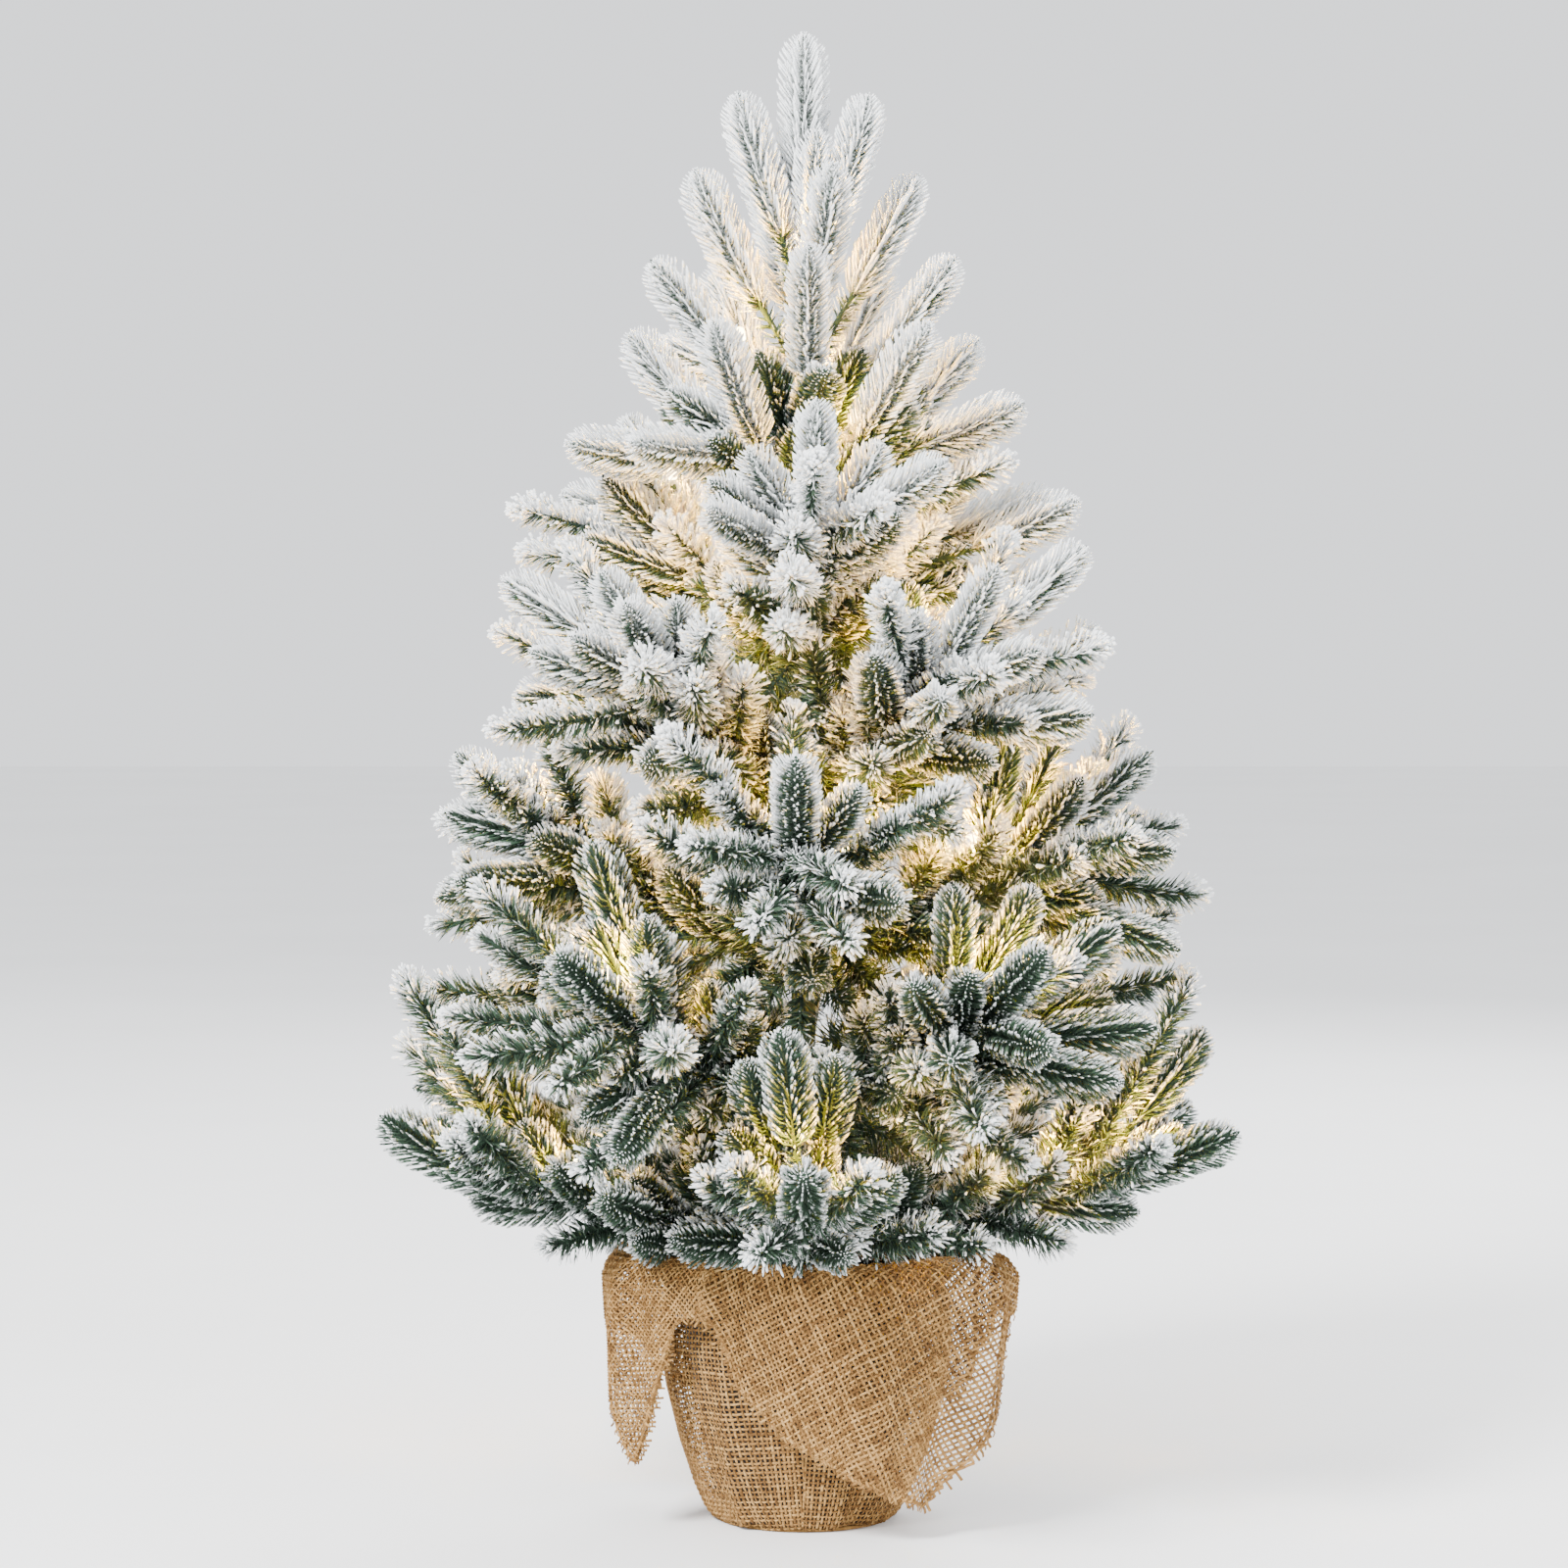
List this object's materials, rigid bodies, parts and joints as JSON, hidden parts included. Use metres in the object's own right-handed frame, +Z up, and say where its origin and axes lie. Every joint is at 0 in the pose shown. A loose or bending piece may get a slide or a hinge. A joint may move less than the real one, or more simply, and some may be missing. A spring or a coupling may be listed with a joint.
{
  "type": "artificial tabletop tree",
  "caption": "Pre-lit artificial tabletop tree with frosted moulded and bristle sprigs, warm white lamps and a burlap-wrapped weighted pot",
  "frame": {"origin": "the point on the standing surface under the trunk's axis", "axes": "+Z up along the trunk, -Y towards the front"},
  "size_m": [0.3546, 0.3374, 0.611],
  "materials": {
    "foliage": "flocked bristle and moulded needles, frosted white",
    "burlap": "plain-weave natural jute",
    "twine": "twisted jute twine",
    "pot_plastic": "black nursery-pot plastic",
    "cement": "rough cast cement",
    "trunk_wrap": "pole wrapped in dark green film tape",
    "box_plastic": "dark green injection-moulded box",
    "button_plastic": "grey push button",
    "cell": "printed cell sleeve without marks",
    "contact_metal": "nickel-plated spring steel",
    "board": "solder-masked board",
    "wire": "green lead with flock on it",
    "lamp": "clear domed warm-white lamp",
    "flock": "dry white fibre flock"
  },
  "bodies": {
    "root": {"pot": "pot_plastic", "cement_fill": "cement", "trunk": "trunk_wrap", "branch_collars": "trunk_wrap", "burlap_wrap": "burlap", "burlap_tie": "twine", "battery_box": "box_plastic", "battery_1": "cell", "battery_2": "cell", "battery_3": "cell", "battery_contacts": "contact_metal", "circuit_board": "board", "light_wire": "wire", "leader": "foliage", "top_lights": "lamp", "top_branch_1": "foliage", "top_branch_2": "foliage", "top_branch_3": "foliage"},
    "cover": {"battery_cover": "box_plastic"},
    "button": {"switch_button": "button_plastic"},
    "bottom_1": {"bottom_branch_1": "foliage", "bottom_lights_1": "lamp"},
    "bottom_2": {"bottom_branch_2": "foliage", "bottom_lights_2": "lamp"},
    "bottom_3": {"bottom_branch_3": "foliage", "bottom_lights_3": "lamp"},
    "bottom_4": {"bottom_branch_4": "foliage", "bottom_lights_4": "lamp"},
    "bottom_5": {"bottom_branch_5": "foliage", "bottom_lights_5": "lamp"},
    "lower_1": {"lower_branch_1": "foliage", "lower_lights_1": "lamp"},
    "lower_2": {"lower_branch_2": "foliage", "lower_lights_2": "lamp"},
    "lower_3": {"lower_branch_3": "foliage", "lower_lights_3": "lamp"},
    "lower_4": {"lower_branch_4": "foliage", "lower_lights_4": "lamp"},
    "middle_1": {"middle_branch_1": "foliage", "middle_lights_1": "lamp"},
    "middle_2": {"middle_branch_2": "foliage", "middle_lights_2": "lamp"},
    "middle_3": {"middle_branch_3": "foliage", "middle_lights_3": "lamp"},
    "middle_4": {"middle_branch_4": "foliage", "middle_lights_4": "lamp"},
    "upper_1": {"upper_branch_1": "foliage", "upper_lights_1": "lamp"},
    "upper_2": {"upper_branch_2": "foliage", "upper_lights_2": "lamp"},
    "upper_3": {"upper_branch_3": "foliage", "upper_lights_3": "lamp"},
    "upper_4": {"upper_branch_4": "foliage", "upper_lights_4": "lamp"}
  },
  "joints": [
    {"name": "cover_slide", "type": "slide", "parent": "root", "child": "cover", "axis": [0, 0, 1], "range_m": [0, 0.01]},
    {"name": "button_press", "type": "slide", "parent": "root", "child": "button", "axis": [0, 0, -1], "range_m": [0, 0.0015], "stiffness_N_per_m": 250},
    {"name": "bottom_1_fold", "type": "hinge", "parent": "root", "child": "bottom_1", "pos_m": [0, -0.0081, 0.112], "axis": [-1, 0, 0], "range_deg": [0, 30]},
    {"name": "bottom_2_fold", "type": "hinge", "parent": "root", "child": "bottom_2", "pos_m": [0.0077, -0.0025, 0.112], "axis": [-0.309, -0.9511, 0], "range_deg": [0, 30.01]},
    {"name": "bottom_3_fold", "type": "hinge", "parent": "root", "child": "bottom_3", "pos_m": [0.00476, 0.00655, 0.112], "axis": [0.809, -0.5878, 0], "range_deg": [0, 30.01]},
    {"name": "bottom_4_fold", "type": "hinge", "parent": "root", "child": "bottom_4", "pos_m": [-0.00476, 0.00655, 0.112], "axis": [0.809, 0.5878, 0], "range_deg": [0, 30.01]},
    {"name": "bottom_5_fold", "type": "hinge", "parent": "root", "child": "bottom_5", "pos_m": [-0.0077, -0.0025, 0.112], "axis": [-0.309, 0.9511, 0], "range_deg": [0, 30.01]},
    {"name": "lower_1_fold", "type": "hinge", "parent": "root", "child": "lower_1", "pos_m": [0.00476, -0.00655, 0.17], "axis": [-0.809, -0.5878, 0], "range_deg": [0, 27.91]},
    {"name": "lower_2_fold", "type": "hinge", "parent": "root", "child": "lower_2", "pos_m": [-0.00476, -0.00655, 0.17], "axis": [-0.809, 0.5878, 0], "range_deg": [0, 27.91]},
    {"name": "lower_3_fold", "type": "hinge", "parent": "root", "child": "lower_3", "pos_m": [-0.00611, 0.00531, 0.17], "axis": [0.6561, 0.7547, 0], "range_deg": [0, 27.91]},
    {"name": "lower_4_fold", "type": "hinge", "parent": "root", "child": "lower_4", "pos_m": [0.00638, 0.00499, 0.17], "axis": [0.6157, -0.788, 0], "range_deg": [0, 27.91]},
    {"name": "middle_1_fold", "type": "hinge", "parent": "root", "child": "middle_1", "pos_m": [-0.00028, -0.00809, 0.228], "axis": [-0.9994, 0.0349, 0], "range_deg": [0, 24.01]},
    {"name": "middle_2_fold", "type": "hinge", "parent": "root", "child": "middle_2", "pos_m": [-0.00809, -0.00028, 0.228], "axis": [-0.0349, 0.9994, 0], "range_deg": [0, 24.01]},
    {"name": "middle_3_fold", "type": "hinge", "parent": "root", "child": "middle_3", "pos_m": [0.00028, 0.00809, 0.228], "axis": [0.9994, -0.0349, 0], "range_deg": [0, 24.01]},
    {"name": "middle_4_fold", "type": "hinge", "parent": "root", "child": "middle_4", "pos_m": [0.00806, -0.00085, 0.228], "axis": [-0.1045, -0.9945, 0], "range_deg": [0, 24.01]},
    {"name": "upper_1_fold", "type": "hinge", "parent": "root", "child": "upper_1", "pos_m": [0.00542, -0.00602, 0.29], "axis": [-0.7431, -0.6691, 0], "range_deg": [0, 18.01]},
    {"name": "upper_2_fold", "type": "hinge", "parent": "root", "child": "upper_2", "pos_m": [-0.00563, -0.00583, 0.29], "axis": [-0.7193, 0.6947, 0], "range_deg": [0, 18.01]},
    {"name": "upper_3_fold", "type": "hinge", "parent": "root", "child": "upper_3", "pos_m": [-0.00563, 0.00583, 0.29], "axis": [0.7193, 0.6947, 0], "range_deg": [0, 18.01]},
    {"name": "upper_4_fold", "type": "hinge", "parent": "root", "child": "upper_4", "pos_m": [0.00583, 0.00563, 0.29], "axis": [0.6947, -0.7193, 0], "range_deg": [0, 18.01]}
  ],
  "couplings": [
    {"joint": "bottom_2_fold", "follows": "bottom_1_fold", "ratio": 1},
    {"joint": "bottom_3_fold", "follows": "bottom_1_fold", "ratio": 1},
    {"joint": "bottom_4_fold", "follows": "bottom_1_fold", "ratio": 1},
    {"joint": "bottom_5_fold", "follows": "bottom_1_fold", "ratio": 1},
    {"joint": "lower_1_fold", "follows": "bottom_1_fold", "ratio": 0.93},
    {"joint": "lower_2_fold", "follows": "bottom_1_fold", "ratio": 0.93},
    {"joint": "lower_3_fold", "follows": "bottom_1_fold", "ratio": 0.93},
    {"joint": "lower_4_fold", "follows": "bottom_1_fold", "ratio": 0.93},
    {"joint": "middle_1_fold", "follows": "bottom_1_fold", "ratio": 0.8},
    {"joint": "middle_2_fold", "follows": "bottom_1_fold", "ratio": 0.8},
    {"joint": "middle_3_fold", "follows": "bottom_1_fold", "ratio": 0.8},
    {"joint": "middle_4_fold", "follows": "bottom_1_fold", "ratio": 0.8},
    {"joint": "upper_1_fold", "follows": "bottom_1_fold", "ratio": 0.6},
    {"joint": "upper_2_fold", "follows": "bottom_1_fold", "ratio": 0.6},
    {"joint": "upper_3_fold", "follows": "bottom_1_fold", "ratio": 0.6},
    {"joint": "upper_4_fold", "follows": "bottom_1_fold", "ratio": 0.6}
  ]
}
